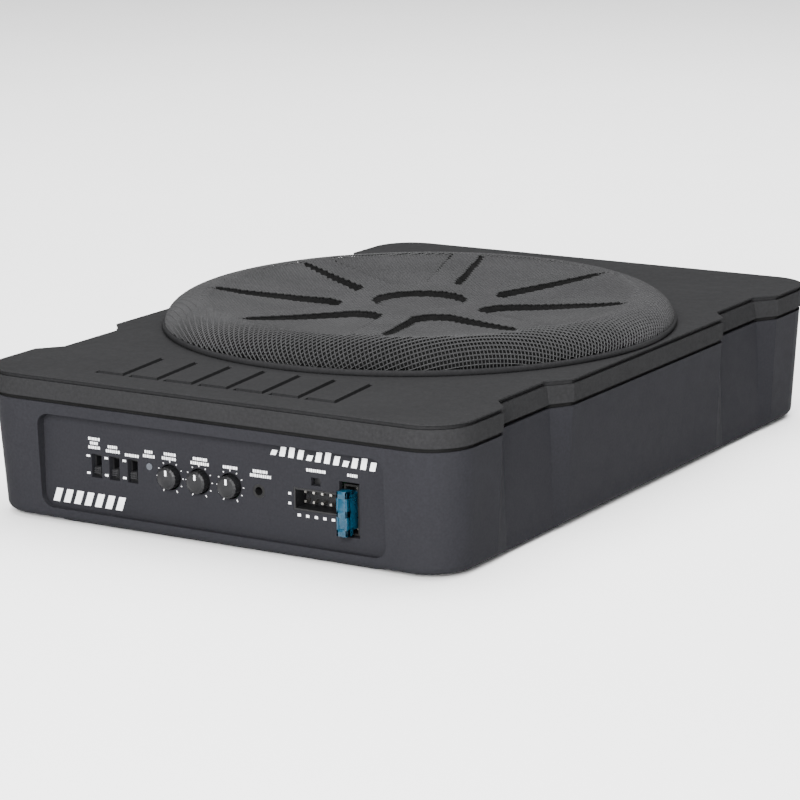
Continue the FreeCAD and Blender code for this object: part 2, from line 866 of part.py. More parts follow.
def make_woofer():
    seat = size("frame_seat")
    plate_top = size("magnet_bottom") + size("yoke_plate") + size("magnet_thick")
    gap_top = plate_top + size("top_plate_thick")
    shelf = size("spider_height")
    thick = size("frame_thick")
    outer = size("frame_radius")

    basket = new_body("woofer_basket")
    section = new_sketch(basket, "XZ_Plane")
    polygon(
        section,
        [
            (outer, seat),
            (outer, seat + thick),
            (91, seat + thick),
            (86, shelf),
            (66, shelf),
            (60, gap_top + thick),
            (40, gap_top + thick),
            (40, gap_top),
            (61.5, gap_top),
            (67.5, shelf - thick),
            (88, shelf - thick),
            (92.6, seat),
        ],
    )
    revolve(basket, section)
    for index in range(8):
        windows = new_sketch(basket, "XY_Plane", seat - 3)
        turn = math.radians(22.5 + 45 * index)
        polygon(windows, turned_box(76, 100, 36, turn))
        pocket(basket, windows, 18)
    bolts = new_sketch(basket, "XY_Plane", seat + 5)
    for x, y in woofer_screw_spots():
        circle(bolts, x, y, 2.2)
    pocket(basket, bolts, 10)
    keep(basket, "woofer_basket")

    rim = seat + thick
    ring = turned(
        "woofer_trim_ring",
        [(size("trim_inner"), rim), (outer, rim), (outer, rim + 2), (size("trim_inner"), rim + 2)],
    )
    holes = new_sketch(ring, "XY_Plane", rim + 3)
    for x, y in woofer_screw_spots():
        circle(holes, x, y, 2.2)
    pocket(ring, holes, 6)

    screws = [screw_down(3.6, 1.8, 1.8, 9, x, y, rim + 2) for x, y in woofer_screw_spots()]
    keep(group(*screws), "woofer_screws")

    # The surround is a half roll with a flat glued to the frame and a flat lapped over the cone's rim.
    roll_ring = (size("roll_outer") + size("roll_inner")) / 2
    roll = (size("roll_outer") - size("roll_inner")) / 2
    above = rod(outer, 20, 0, 0, rim)
    hollow_roll = minus(torus(roll_ring, roll, 0, 0, rim + 1), torus(roll_ring, roll - 1, 0, 0, rim + 1))
    half_roll = overlap(hollow_roll, above)
    outer_lap = minus(
        rod(size("trim_inner") - 0.1, 1, 0, 0, rim), rod(size("roll_outer") - 0.6, 1, 0, 0, rim)
    )
    inner_lap = minus(
        rod(size("roll_inner") + 0.6, 1, 0, 0, size("cone_rim_height") + 0.02),
        rod(size("roll_inner") - 6, 1, 0, 0, size("cone_rim_height") + 0.02),
    )
    keep(join(half_roll, outer_lap, inner_lap), "woofer_surround")

    neck_radius = size("cone_neck")
    neck = size("cone_neck_height")
    cone_tall = size("cone_rim_height") - neck
    wall = size("cone_thick")
    funnel = taper(neck_radius + wall, size("roll_inner") - 7, cone_tall, 0, 0, neck)
    throat = taper(neck_radius, size("roll_inner") - 8.2, cone_tall, 0, 0, neck)
    collar = minus(
        rod(neck_radius + wall, 3, 0, 0, neck - 3), rod(neck_radius, 3, 0, 0, neck - 3)
    )
    lip_z = size("cone_rim_height") - wall
    lip = minus(
        rod(size("roll_inner") - 0.5, wall, 0, 0, lip_z), rod(size("roll_inner") - 9, wall, 0, 0, lip_z)
    )
    keep(join(minus(funnel, throat), collar, lip), "woofer_cone")

    # The dust cap is a slice of a hollow ball: rise and radius give the ball's radius.
    cap = size("cap_radius")
    rise = size("cap_rise")
    cap_z = neck + 4.4
    curve = (cap * cap + rise * rise) / (rise * 2)
    outside = ball(curve, 0, 0, cap_z + rise - curve)
    inside = ball(curve - 0.9, 0, 0, cap_z + rise - curve)
    keep(overlap(minus(outside, inside), rod(cap, 20, 0, 0, cap_z)), "dust_cap")

    inner = size("coil_inner")
    former = inner + size("former_thick")
    low = plate_top - 6
    keep(minus(rod(former, neck - low, 0, 0, low), rod(inner, neck - low, 0, 0, low)), "coil_former")
    coil_low = plate_top - 3
    winding = former + size("winding_thick")
    keep(minus(rod(winding, 12, 0, 0, coil_low), rod(former, 12, 0, 0, coil_low)), "voice_coil")

    base = size("magnet_bottom")
    radius = size("magnet_radius")
    pole = size("pole_radius")
    yoke = size("yoke_plate")
    turned(
        "yoke_and_pole",
        [
            (4, base),
            (radius - 2, base),
            (radius - 2, base + yoke),
            (pole, base + yoke),
            (pole, gap_top),
            (4, gap_top),
        ],
    )
    ring_low = base + yoke
    turned("ring_magnet", [(34, ring_low), (radius, ring_low), (radius, plate_top), (34, plate_top)])
    gap = winding + 0.6
    turned(
        "top_plate",
        [(gap, plate_top), (radius - 3, plate_top), (radius - 3, gap_top), (gap, gap_top)],
    )

    # The spider is a flat cloth disc with three shallow rings.
    disc = minus(rod(size("spider_radius"), 0.8, 0, 0, shelf), rod(former + 0.05, 0.8, 0, 0, shelf))
    rings = [torus(radius, 1.3, 0, 0, shelf + 0.4) for radius in (36, 46, 56)]
    keep(join(disc, *rings), "spider")

    strip_y = -92.6
    board = block(22, 1.6, 9, 0, strip_y, 49)
    tabs = [block(4.8, 8, 0.8, x, strip_y - 4.8, 53) for x in (-6, 6)]
    keep(join(board, *tabs), "terminal_strip")


def turned_box(near, far, wide, turn):
    """A rectangle from near to far along X and wide across, turned about the origin."""
    corners = [(near, -wide / 2), (far, -wide / 2), (far, wide / 2), (near, wide / 2)]
    cosine, sine = math.cos(turn), math.sin(turn)
    return [(x * cosine - y * sine, x * sine + y * cosine) for x, y in corners]


# Control panel and what it carries


def make_panel():
    panel = new_body("control_panel")
    face = size("panel_face")
    thick = size("panel_thick")
    plate = new_sketch(panel, "XZ_Plane", face - thick)
    edge = size("panel_half_width")
    rectangle(plate, -edge, edge, size("panel_low"), size("panel_high"))
    pad(panel, plate, thick)

    cutouts = new_sketch(panel, "XZ_Plane", face + 2)
    for x in SWITCHES.values():
        rectangle(cutouts, x - 2.7, x + 2.7, size("switch_height") - 5.2, size("switch_height") + 5.2)
    for x in KNOBS.values():
        circle(cutouts, x, size("knob_height"), size("knob_radius") + 0.6)
    circle(cutouts, LED_X, LED_HEIGHT, 1.6)
    circle(cutouts, size("jack_x"), size("jack_height"), 3.05)
    half = size("plug_width") / 2 + 0.1
    tall = size("plug_tall") / 2 + 0.1
    middle = size("plug_height")
    rectangle(cutouts, size("plug_x") - half, size("plug_x") + half, middle - tall, middle + tall)
    rectangle(cutouts, size("plug_x") - 2.3, size("plug_x") + 2.3, middle + 6.6, middle + 10)
    well = size("fuse_height")
    rectangle(cutouts, size("fuse_x") - 4.3, size("fuse_x") + 5.4, well - 11, well + 12.4)
    for x, z in panel_screw_spots():
        circle(cutouts, x, z, 1.4)
    pocket(panel, cutouts, thick + 5)
    keep(panel, "control_panel")

    screws = [
        screw(2.2, 1.6, 1.25, 5, x, -face + thick, z, axis="-y", recess=0.8)
        for x, z in panel_screw_spots()
    ]
    keep(group(*screws), "panel_screws")


def panel_screw_spots():
    return [(side * 90.6, z) for side in (1, -1) for z in (13.0, 43.0)]


def make_controls():
    face = size("panel_face")
    back = face - size("panel_thick")
    board = size("board_face")
    height = size("switch_height")
    for label, x in SWITCHES.items():
        shell = block(7, back - board, 13, x, -(back + board) / 2, height - 6.5)
        slot_tall = 4.0 + size("switch_travel") * 2
        slot = block(3.6, back - board, slot_tall, x, -(back + board) / 2 - 1.2, height - 4.0)
        keep(minus(shell, slot), label + "_housing")
        low = height - size("switch_travel") - 1.5
        stem = block(3.0, 6.6, 3.0, x, -back + 0.9, low)
        keep(stem, label + "_slider")

    height = size("knob_height")
    for label, x in KNOBS.items():
        case = block(11, 6, 11, x, -board - 3, height - 5.5)
        hole = rod(3.05, 6, x, -board - 6, height, "y")
        keep(minus(case, hole), label + "_potentiometer")
        tip = face + size("knob_reach")
        cap = rod(size("knob_radius"), tip - face + 1.5, x, -tip, height, "y")
        shaft = rod(3.0, tip - board - 1, x, -tip, height, "y")
        slit = block(0.9, 1.0, size("knob_radius"), x, -tip, height + 0.6)
        keep(minus(join(cap, shaft), slit), label + "_knob")

    dome = rod(1.5, 7, LED_X, -face - 0.2, LED_HEIGHT, "y")
    flange = rod(1.9, 1.2, LED_X, -back + 0.1, LED_HEIGHT, "y")
    keep(join(dome, flange), "power_led")

    jack_x = size("jack_x")
    jack_z = size("jack_height")
    bush = rod(3.0, face - board, jack_x, -face, jack_z, "y")
    case = block(9, back - board - 0.2, 9, jack_x, -(back + board) / 2 + 0.1, jack_z - 4.5)
    bore = rod(size("jack_bore"), face - board - 1, jack_x, -face, jack_z, "y")
    keep(minus(join(bush, case), bore), "remote_jack")


def make_power_inlet():
    """The ten-way power and signal header, the fuse and its holder."""
    face = size("panel_face")
    board = size("board_face")
    x = size("plug_x")
    z = size("plug_height")
    depth = face - board
    wide = size("plug_width")
    tall = size("plug_tall")
    low = z - tall / 2
    shell = block(wide, depth, tall, x, -(face + board) / 2, low)
    mouth = block(wide - 1.6, depth - 2, tall - 1.6, x, -face + (depth - 2) / 2, low + 0.8)
    latch = block(4.4, 8.6, 5.0, x, -board - 4.3, z + tall / 2)
    spots = pin_spots()
    through = [block(1.3, 6, 1.3, pin_x, -board - 1, pin_z - 0.65) for pin_x, pin_z in spots]
    keep(minus(join(minus(shell, mouth), latch), *through), "power_connector")
    pins = [block(1.07, 8.1, 1.07, pin_x, -board - 2.45, pin_z - 0.53) for pin_x, pin_z in spots]
    keep(group(*pins), "connector_pins")
    guide = block(wide - 1.7, 1, tall - 1.7, x, -board - 2.6, low + 0.85)
    gaps = [block(1.3, 2, 1.3, pin_x, -board - 2.6, pin_z - 0.65) for pin_x, pin_z in spots]
    keep(minus(guide, *gaps), "connector_pin_guide")

    fuse_x = size("fuse_x")
    fuse_z = size("fuse_height")
    low = fuse_z - 9.55
    holder = block(8.4, 8.4, 21.6, fuse_x + 0.4, -board - 4.2, fuse_z - 10.8)
    pocket_box = block(5.6, 6.4, 19.8, fuse_x, -board - 5.2, fuse_z - 9.9)
    slots = [block(1.2, 9, 5.6, fuse_x, -board - 4.0, fuse_z + side * 7.1 - 2.8) for side in (1, -1)]
    keep(minus(holder, pocket_box, *slots), "fuse_holder")
    front = -face - 5.4
    body = block(5.1, 12.4, 19.1, fuse_x, front + 6.2, low)
    waist = [
        block(0.9, 9.0, 11.0, fuse_x + side * 2.2, front + 5.5, fuse_z - 5.5) for side in (1, -1)
    ]
    keep(minus(body, *waist), "fuse_body")
    blades = [block(0.7, 6.2, 5.0, fuse_x, front + 12.4 + 3.1, fuse_z + side * 7.1 - 2.5) for side in (1, -1)]
    keep(group(*blades), "fuse_blades")

    edge = size("board_thick")
    board_plate = block(150, edge, 37, 6, -board + edge / 2, 11)
    holes = [block(1.3, 4, 1.3, pin_x, -board + edge / 2, pin_z - 0.65) for pin_x, pin_z in spots]
    blade_gaps = [block(1.2, 8, 5.6, fuse_x, -board, fuse_z + side * 7.1 - 2.8) for side in (1, -1)]
    keep(minus(board_plate, *(holes + blade_gaps)), "control_board")


def pin_spots():
    """The x and z of the ten contacts, in five columns of two."""
    pitch = size("pin_pitch")
    columns = [size("plug_x") + pitch * step for step in (-2, -1, 0, 1, 2)]
    return [(x, size("plug_height") + pitch * row) for x in columns for row in (-0.5, 0.5)]


# Amplifier


def make_amplifier():
    height = size("amp_board_height")
    thick = size("board_thick")
    top = height + thick
    spots = [(x, y) for x in (-84, 0, 84) for y in (-151, -122)]
    board = block(size("amp_board_half") * 2, 36, thick, 0, -137, height)
    keep(minus(board, *[rod(1.7, 4, x, y, height - 1) for x, y in spots]), "amplifier_board")
    foot = size("floor_top")
    standoffs = [
        minus(rod(3, height - foot, x, y, foot), rod(1.45, 6, x, y, foot + 1))
        for x, y in spots
    ]
    keep(group(*standoffs), "board_standoffs")
    screws = [screw_down(2.8, 1.8, 1.4, 5, x, y, top) for x, y in spots]
    keep(group(*screws), "board_screws")

    capacitors = [rod(7.5, 30, x, -140, top) for x in (18, 35, 52, 69)]
    keep(group(*capacitors), "filter_capacitors")
    keep(torus(10.5, 5, -24, -139.5, top + 5), "power_transformer")
    coils = [torus(7.5, 3.6, x, -140, top + 3.7) for x in (-52, -72)]
    keep(group(*coils), "output_inductors")

    sink_face = size("bulkhead_front") + 4
    bar = block(150, 4, 16, 0, -size("bulkhead_front") - 2, top + 3)
    keep(bar, "heat_spreader")
    devices = []
    for index in range(8):
        x = -63 + 18 * index
        legs = [block(0.8, 0.6, 4, x + step, -sink_face - 2.3, top) for step in (-2.5, 0, 2.5)]
        devices.append(join(block(10, 4.4, 15, x, -sink_face - 2.2, top + 4), *legs))
    keep(group(*devices), "power_transistors")

    link = block(30, 2.5, 6, -30, -board_back() + 1.25, 12.5)
    keep(link, "board_link_header")


def board_back():
    return size("board_face") - size("board_thick")


def check_document():
    for item in doc.Objects:
        if "Invalid" in item.State or "Error" in item.State:
            raise RuntimeError("%s failed: %s" % (item.Name, item.State))
    for item in sub_parts:
        if item.Shape.isNull() or not item.Shape.isValid():
            raise RuntimeError("%s has no valid shape" % item.Label)


def main():
    fill_sheet()
    make_body()
    make_lid()
    make_seam_gasket()
    make_case_hardware()
    make_grille()
    make_woofer()
    make_panel()
    make_controls()
    make_power_inlet()
    make_amplifier()
    doc.recompute()
    check_document()
    os.makedirs("parts", exist_ok=True)
    for item in sub_parts:
        item.Shape.exportStep("parts/%s.step" % item.Label)
        box = item.Shape.BoundBox
        print(
            "%-28s solids %2d volume %9.0f  x %.1f %.1f  y %.1f %.1f  z %.1f %.1f"
            % (
                item.Label, len(item.Shape.Solids), item.Shape.Volume,
                box.XMin, box.XMax, box.YMin, box.YMax, box.ZMin, box.ZMax,
            )
        )


main()
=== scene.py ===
import math

import bmesh
import bpy
import numpy as np
from mathutils import Matrix, Vector


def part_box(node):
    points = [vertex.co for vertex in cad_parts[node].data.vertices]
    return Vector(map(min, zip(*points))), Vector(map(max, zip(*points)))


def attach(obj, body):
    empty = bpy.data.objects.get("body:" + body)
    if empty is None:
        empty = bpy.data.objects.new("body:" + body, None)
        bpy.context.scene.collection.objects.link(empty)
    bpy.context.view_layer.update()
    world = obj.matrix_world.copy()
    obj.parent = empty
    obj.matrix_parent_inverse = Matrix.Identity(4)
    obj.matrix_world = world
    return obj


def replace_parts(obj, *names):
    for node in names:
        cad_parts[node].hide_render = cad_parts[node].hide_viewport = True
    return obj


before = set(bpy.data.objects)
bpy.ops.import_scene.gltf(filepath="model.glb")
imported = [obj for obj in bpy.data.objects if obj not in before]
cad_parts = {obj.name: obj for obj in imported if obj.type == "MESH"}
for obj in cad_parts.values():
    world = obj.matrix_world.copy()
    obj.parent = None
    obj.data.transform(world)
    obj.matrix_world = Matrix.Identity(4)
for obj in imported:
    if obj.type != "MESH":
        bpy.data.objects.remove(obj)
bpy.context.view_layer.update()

# Powered car subwoofer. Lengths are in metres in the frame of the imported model: origin at the
# middle of the underside, +X right, +Y back, +Z up, control panel facing -Y.

MM = 0.001
GRILLE_LOW, GRILLE_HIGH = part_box("woofer_grille")
PANEL_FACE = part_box("control_panel")[0].y


# Materials

# Specular levels: how strongly each kind of surface reflects
COAT_GLOSS = 0.006
RUBBER_GLOSS = 0.05
PLASTIC_GLOSS = 0.2
# The middle part of a noise texture's values, which is stretched over the whole wanted range
NOISE_LOW = 0.3
NOISE_HIGH = 0.7


class Look:
    """A node material being put together: its shader, its nodes and short ways to join them."""

    def __init__(self, name, color, roughness, metallic=0.0):
        self.material = bpy.data.materials.new(name)
        self.material.use_nodes = True
        self.tree = self.material.node_tree
        self.shader = self.tree.nodes["Principled BSDF"]
        self.shader.inputs["Base Color"].default_value = (*color, 1)
        self.shader.inputs["Roughness"].default_value = roughness
        self.shader.inputs["Metallic"].default_value = metallic
        self.place = self.tree.nodes.new("ShaderNodeTexCoord").outputs["Object"]

    def node(self, kind, **inputs):
        made = self.tree.nodes.new(kind)
        for name, value in inputs.items():
            self.feed(made.inputs[name.replace("_", " ")], value)
        return made

    def feed(self, socket, value):
        if isinstance(value, bpy.types.NodeSocket):
            self.tree.links.new(value, socket)
        else:
            socket.default_value = value

    def noise(self, scale, detail=2.0, stretch=(1, 1, 1)):
        mapping = self.node("ShaderNodeMapping", Vector=self.place, Scale=stretch)
        return self.node(
            "ShaderNodeTexNoise", Vector=mapping.outputs[0], Scale=scale, Detail=detail
        ).outputs["Fac"]

    def spread(self, value, low, high):
        """A noise value mapped to the range from low to high."""
        return self.node(
            "ShaderNodeMapRange", Value=value,
            From_Min=NOISE_LOW, From_Max=NOISE_HIGH, To_Min=low, To_Max=high,
        ).outputs[0]

    def math(self, operation, first, second=0.0):
        made = self.tree.nodes.new("ShaderNodeMath")
        made.operation = operation
        self.feed(made.inputs[0], first)
        self.feed(made.inputs[1], second)
        return made.outputs[0]

    def mix(self, factor, dark, light):
        made = self.tree.nodes.new("ShaderNodeMix")
        made.data_type = "RGBA"
        self.feed(made.inputs["Factor"], factor)
        for name, color in (("A", dark), ("B", light)):
            sockets = [item for item in made.inputs if item.name == name and item.type == "RGBA"]
            sockets[0].default_value = (*color, 1)
        return [item for item in made.outputs if item.type == "RGBA"][0]

    def bump(self, height, distance):
        made = self.node("ShaderNodeBump", Height=height, Distance=distance, Strength=1.0)
        self.feed(self.shader.inputs["Normal"], made.outputs[0])

    def color(self, value):
        self.feed(self.shader.inputs["Base Color"], value)

    def rough(self, value):
        self.feed(self.shader.inputs["Roughness"], value)

    def gloss(self, level):
        self.shader.inputs["Specular IOR Level"].default_value = level


def shades(color, amount):
    """A colour a little darker and a little lighter."""
    return tuple(c * (1 - amount) for c in color), tuple(min(1, c * (1 + amount)) for c in color)


def coated(name, color, roughness, grain=900.0, depth=0.03 * MM, mottle=0.12):
    """Powder-coated or textured paint: fine grain, faint mottling and slightly uneven gloss."""
    look = Look(name, color, roughness)
    dark, light = shades(color, mottle)
    cloud = look.spread(look.noise(26, 5), 0, 1)
    fine = look.noise(grain, 3)
    cloud_share = look.math("MULTIPLY", cloud, 0.3)
    grain_share = look.math("MULTIPLY", look.spread(fine, 0, 1), 0.7)
    look.color(look.mix(look.math("ADD", cloud_share, grain_share), dark, light))
    look.rough(look.spread(look.noise(180, 3), roughness - 0.05, roughness + 0.05))
    look.gloss(COAT_GLOSS)
    look.bump(fine, depth)
    return look


def moulded(name, color, roughness, depth=0.02 * MM):
    """Injection-moulded plastic with a fine spark-eroded surface."""
    look = Look(name, color, roughness)
    dark, light = shades(color, 0.1)
    look.color(look.mix(look.spread(look.noise(55, 3), 0, 1), dark, light))
    look.gloss(PLASTIC_GLOSS)
    look.rough(look.spread(look.noise(220, 2), roughness - 0.08, roughness + 0.08))
    look.bump(look.noise(1600, 2), depth)
    return look


def metal(name, color, roughness, stretch=(1, 1, 1)):
    """Bare or plated metal with fine tool marks, drawn out along the axis of least stretch."""
    look = Look(name, color, roughness, 1.0)
    dark, light = shades(color, 0.12)
    marks = look.noise(900, 3, stretch)
    look.color(look.mix(look.spread(look.noise(40, 3), 0, 1), dark, light))
    look.rough(look.spread(marks, roughness - 0.08, roughness + 0.1))
    look.bump(marks, 0.01 * MM)
    return look


def soft_black(name, color, roughness, depth=0.04 * MM):
    """Rubber or foam: matt, with a faint skin texture and dusty lighter patches."""
    look = Look(name, color, roughness)
    look.gloss(RUBBER_GLOSS)
    dark, light = shades(color, 0.25)
    look.color(look.mix(look.spread(look.noise(30, 5), 0, 1), dark, light))
    look.rough(look.spread(look.noise(300, 3), roughness - 0.06, min(1, roughness + 0.06)))
    look.bump(look.noise(700, 4), depth)
    return look


def make_materials():
    looks = {
        "case": coated("case_coat", (0.0155, 0.0155, 0.0178), 0.5),
        "lid": coated("lid_coat", (0.0162, 0.0162, 0.0168), 0.6, 700, 0.05 * MM, 0.16),
        "panel": coated("panel_coat", (0.0150, 0.0150, 0.0172), 0.5),
        "plate": coated("plate_coat", (0.03, 0.03, 0.033), 0.5),
        "mesh": coated("mesh_coat", (0.037, 0.037, 0.0378), 0.5, 1500, 0.02 * MM, 0.3),
        "basket": coated("basket_coat", (0.025, 0.025, 0.028), 0.4),
        "rubber": soft_black("surround_rubber", (0.02, 0.02, 0.02), 0.6),
        "foam": soft_black("gasket_foam", (0.008, 0.008, 0.008), 0.85, 0.08 * MM),
        "cone": moulded("cone_plastic", (0.045, 0.045, 0.05), 0.35, 0.05 * MM),
        "black": moulded("black_nylon", (0.006, 0.006, 0.0065), 0.42),
        # Near-black for the remote jack and the fuse holder: partly their black plastic, partly
        # painted shade, darker than the other black parts so that they read as shaded recesses
        "recess_shade": moulded("recess_shade_black", (0.004, 0.004, 0.004), 0.6),
        # Near-black sheet under the grille mesh: painted shade behind the mesh and along its
        # pressed walls
        "liner_shade": soft_black("grille_liner_shade", (0.004, 0.004, 0.004), 0.95, 0.15 * MM),
        "grey": moulded("grey_nylon", (0.010, 0.010, 0.011), 0.5),
        "knob": moulded("knob_plastic", (0.0065, 0.0065, 0.0072), 0.5),
        "print": moulded("white_print", (0.75, 0.75, 0.76), 0.55, 0.004 * MM),
        "steel": metal("zinc_steel", (0.5, 0.5, 0.51), 0.35),
        "screw": metal("black_zinc", (0.08, 0.08, 0.085), 0.4),
        "brass": metal("brass", (0.72, 0.53, 0.25), 0.3),
        "tin": metal("tin_plate", (0.30, 0.29, 0.27), 0.35),
        "aluminium": metal("aluminium", (0.75, 0.75, 0.77), 0.35, (1, 20, 20)),
        "ferrite": soft_black("ferrite", (0.035, 0.035, 0.04), 0.55),
        "led": moulded("led_lens", (0.05, 0.055, 0.065), 0.25),
    }
    looks["fuse"] = make_fuse_look()
    looks["board"] = make_board_look()
    looks["cloth"] = make_cloth_look()
    looks["copper"] = make_winding_look()
    return {name: look.material for name, look in looks.items()}


def make_fuse_look():
    """Tinted clear nylon of a 15 A blade fuse."""
    look = moulded("fuse_nylon", (0.0035, 0.036, 0.066), 0.3, 0.02 * MM)
    look.shader.inputs["Transmission Weight"].default_value = 0.2
    look.shader.inputs["IOR"].default_value = 1.5
    look.shader.inputs["Coat Weight"].default_value = 0.1
    return look


def make_board_look():
    """Green solder mask over copper tracks."""
    look = Look("solder_mask", (0.02, 0.12, 0.05), 0.35)
    mapping = look.node("ShaderNodeMapping", Vector=look.place, Scale=(260, 260, 260))
    tracks = look.node("ShaderNodeTexVoronoi", Vector=mapping.outputs[0])
    tracks.distance = "MANHATTAN"
    edge = look.math("LESS_THAN", tracks.outputs["Distance"], 0.42)
    look.color(look.mix(edge, (0.012, 0.075, 0.032), (0.03, 0.17, 0.07)))
    look.bump(edge, 0.03 * MM)
    return look


def make_cloth_look():
    """Resin-stiffened cotton: a plain weave of warm yellow threads."""
    look = Look("spider_cloth", (0.55, 0.42, 0.2), 0.85)
    waves = []
    for direction in ("X", "Y"):
        wave = look.node("ShaderNodeTexWave", Vector=look.place, Scale=420, Distortion=0.4)
        wave.bands_direction = direction
        waves.append(wave.outputs["Fac"])
    weave = look.math("MULTIPLY", *waves)
    look.color(look.mix(weave, (0.36, 0.26, 0.11), (0.66, 0.52, 0.28)))
    look.bump(weave, 0.12 * MM)
    return look


def make_winding_look():
    """Close-wound enamelled copper wire."""
    look = Look("copper_winding", (0.62, 0.25, 0.1), 0.3, 1.0)
    wave = look.node("ShaderNodeTexWave", Vector=look.place, Scale=620, Distortion=0.2)
    wave.bands_direction = "Z"
    turns = wave.outputs["Fac"]
    look.color(look.mix(turns, (0.3, 0.1, 0.04), (0.75, 0.34, 0.15)))
    look.bump(turns, 0.1 * MM)
    return look


LOOKS = make_materials()


# Mesh tools


def add_piece(name, mesh, look, body="case", smooth=True):
    piece = bpy.data.objects.new(name, mesh)
    bpy.context.scene.collection.objects.link(piece)
    mesh.materials.append(LOOKS[look])
    if smooth:
        mesh.shade_smooth()
    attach(piece, body)
    return piece


def mesh_from(name, corners, faces):
    mesh = bpy.data.meshes.new(name)
    mesh.from_pydata(corners, [], faces)
    mesh.update()
    return mesh


def crease(piece, degrees, width=None):
    """Splits the piece's shading at sharp edges, after a small bevel where a width is given."""
    if width:
        bevel = piece.modifiers.new("edges", "BEVEL")
        bevel.width = width
        bevel.segments = 2
        bevel.limit_method = "ANGLE"
        bevel.angle_limit = math.radians(degrees)
        bevel.harden_normals = True
    bake_modifiers(piece)
    piece.data.set_sharp_from_angle(angle=math.radians(degrees))
    return piece


def bake_modifiers(piece):
    bpy.context.view_layer.update()
    shaped = piece.evaluated_get(bpy.context.evaluated_depsgraph_get())
    mesh = bpy.data.meshes.new_from_object(shaped)
    old = piece.data
    piece.modifiers.clear()
    piece.data = mesh
    bpy.data.meshes.remove(old)


def lathe(name, profile, steps, axis="z", centre=(0, 0, 0), ripple=None):
    """A closed solid turned about an axis through centre: profile is (radius, height) corners."""
    corners = []
    for step in range(steps):
        turn = 2 * math.pi * step / steps
        for index, (radius, height) in enumerate(profile):
            if ripple:
                radius = ripple(radius, index, turn)
            x, y, z = radius * math.cos(turn), radius * math.sin(turn), height
            if axis == "-y":
                x, y, z = x, -z, y
            corners.append((x + centre[0], y + centre[1], z + centre[2]))
    count = len(profile)
    faces = []
    for step in range(steps):
        here = step * count
        there = (step + 1) % steps * count
        for index in range(count):
            after = (index + 1) % count
            faces.append((here + index, here + after, there + after, there + index))
    mesh = mesh_from(name, corners, faces)
    clean(mesh)
    return mesh


def turn_outwards(mesh):
    shape = bmesh.new()
    shape.from_mesh(mesh)
    bmesh.ops.recalc_face_normals(shape, faces=shape.faces)
    shape.to_mesh(mesh)
    shape.free()


def clean(mesh):
    """Merges doubled corners, drops flat faces and turns all faces outwards."""
    shape = bmesh.new()
    shape.from_mesh(mesh)
    bmesh.ops.remove_doubles(shape, verts=shape.verts, dist=1e-6)
    bmesh.ops.dissolve_degenerate(shape, edges=shape.edges, dist=1e-7)
    bmesh.ops.recalc_face_normals(shape, faces=shape.faces)
    shape.to_mesh(mesh)
    shape.free()


def rectangle(left, right, bottom, top):
    return [(left, bottom), (right, bottom), (right, top), (left, top)]


def prism(name, outline, front, back):
    """A closed solid between two depths along Y over a flat outline of (x, z)."""
    count = len(outline)
    corners = [(x, depth, z) for depth in (front, back) for x, z in outline]
    faces = [tuple(range(count)), tuple(range(2 * count - 1, count - 1, -1))]
    for index in range(count):
        after = (index + 1) % count
        faces.append((index, after, after + count, index + count))
    mesh = mesh_from(name, corners, faces)
    clean(mesh)
    return mesh


def join_meshes(name, meshes):
    shape = bmesh.new()
    for mesh in meshes:
        shape.from_mesh(mesh)
        bpy.data.meshes.remove(mesh)
    joined = bpy.data.meshes.new(name)
    shape.to_mesh(joined)
    shape.free()
    return joined


# Grille: a drawn diamond mesh

GRILLE_RADIUS = GRILLE_HIGH.x
GRILLE_BASE = GRILLE_LOW.z
RIM_RADIUS = 98 * MM
RIM_RISE = GRILLE_HIGH.z - GRILLE_BASE - 0.1 * MM
HUB_RISE = RIM_RISE - 4.2 * MM
# Height of the shoulder's foot above the lid, and radius of the flat blank the mesh is drawn from
HEM = 2.2 * MM
BLANK_RADIUS = 112 * MM
SPOKE_TURN = math.radians(17)
SPOKE_STEP = math.pi / 4
SPOKE_HALF = 7.75 * MM
WEDGE_TIP = 37 * MM
WEDGE_CORNER = 7 * MM
WEDGE_SINK = 2.8 * MM
HUB_RADIUS = 21 * MM
HUB_SINK = 2.6 * MM
# Half the width of the sloping wall round each pressed panel
PANEL_WALL = 0.45 * MM
# A node nearer than this share of a cell to the middle of a wall is moved to the wall's edge
SNAP_REACH = 0.45
CELL = 2.2 * MM
# A strand's width as a share of the way from a node to the middle of its cell
STRAND = 0.32
STRAND_DEPTH = 0.45 * MM
# A cell whose corners differ more in depth spans a wall, and is left out, so that the liner's
# painted shade shows there as a dark line
MAX_CELL_DROP = 1.0 * MM
LINER_DROP = 1.1 * MM
LINER_THICK = 0.35 * MM
LINER_STEPS = 400
LINER_RADII = np.concatenate([np.arange(0.4, 98, 1.0), np.linspace(98, 111.6, 14)]) * MM
TINY = 1e-9


def smooth_step(low, high, value):
    share = np.clip((value - low) / (high - low), 0, 1)
    return share * share * (3 - 2 * share)


def into_wedge(x, y):
    """Distance of a place inside the edge of the nearest pressed wedge; negative on the spokes."""
    radius = np.hypot(x, y)
    turn = np.arctan2(y, x) - SPOKE_TURN
    off_spoke = np.abs((turn + SPOKE_STEP / 2) % SPOKE_STEP - SPOKE_STEP / 2)
    beside = radius * np.sin(off_spoke) - SPOKE_HALF
    beyond = radius - WEDGE_TIP
    to_side = np.maximum(WEDGE_CORNER - beside, 0)
    to_tip = np.maximum(WEDGE_CORNER - beyond, 0)
    corner = WEDGE_CORNER - np.hypot(to_side, to_tip)
    return np.minimum(corner, np.minimum(beside, beyond))


def into_hub(x, y):
    return HUB_RADIUS - np.hypot(x, y)


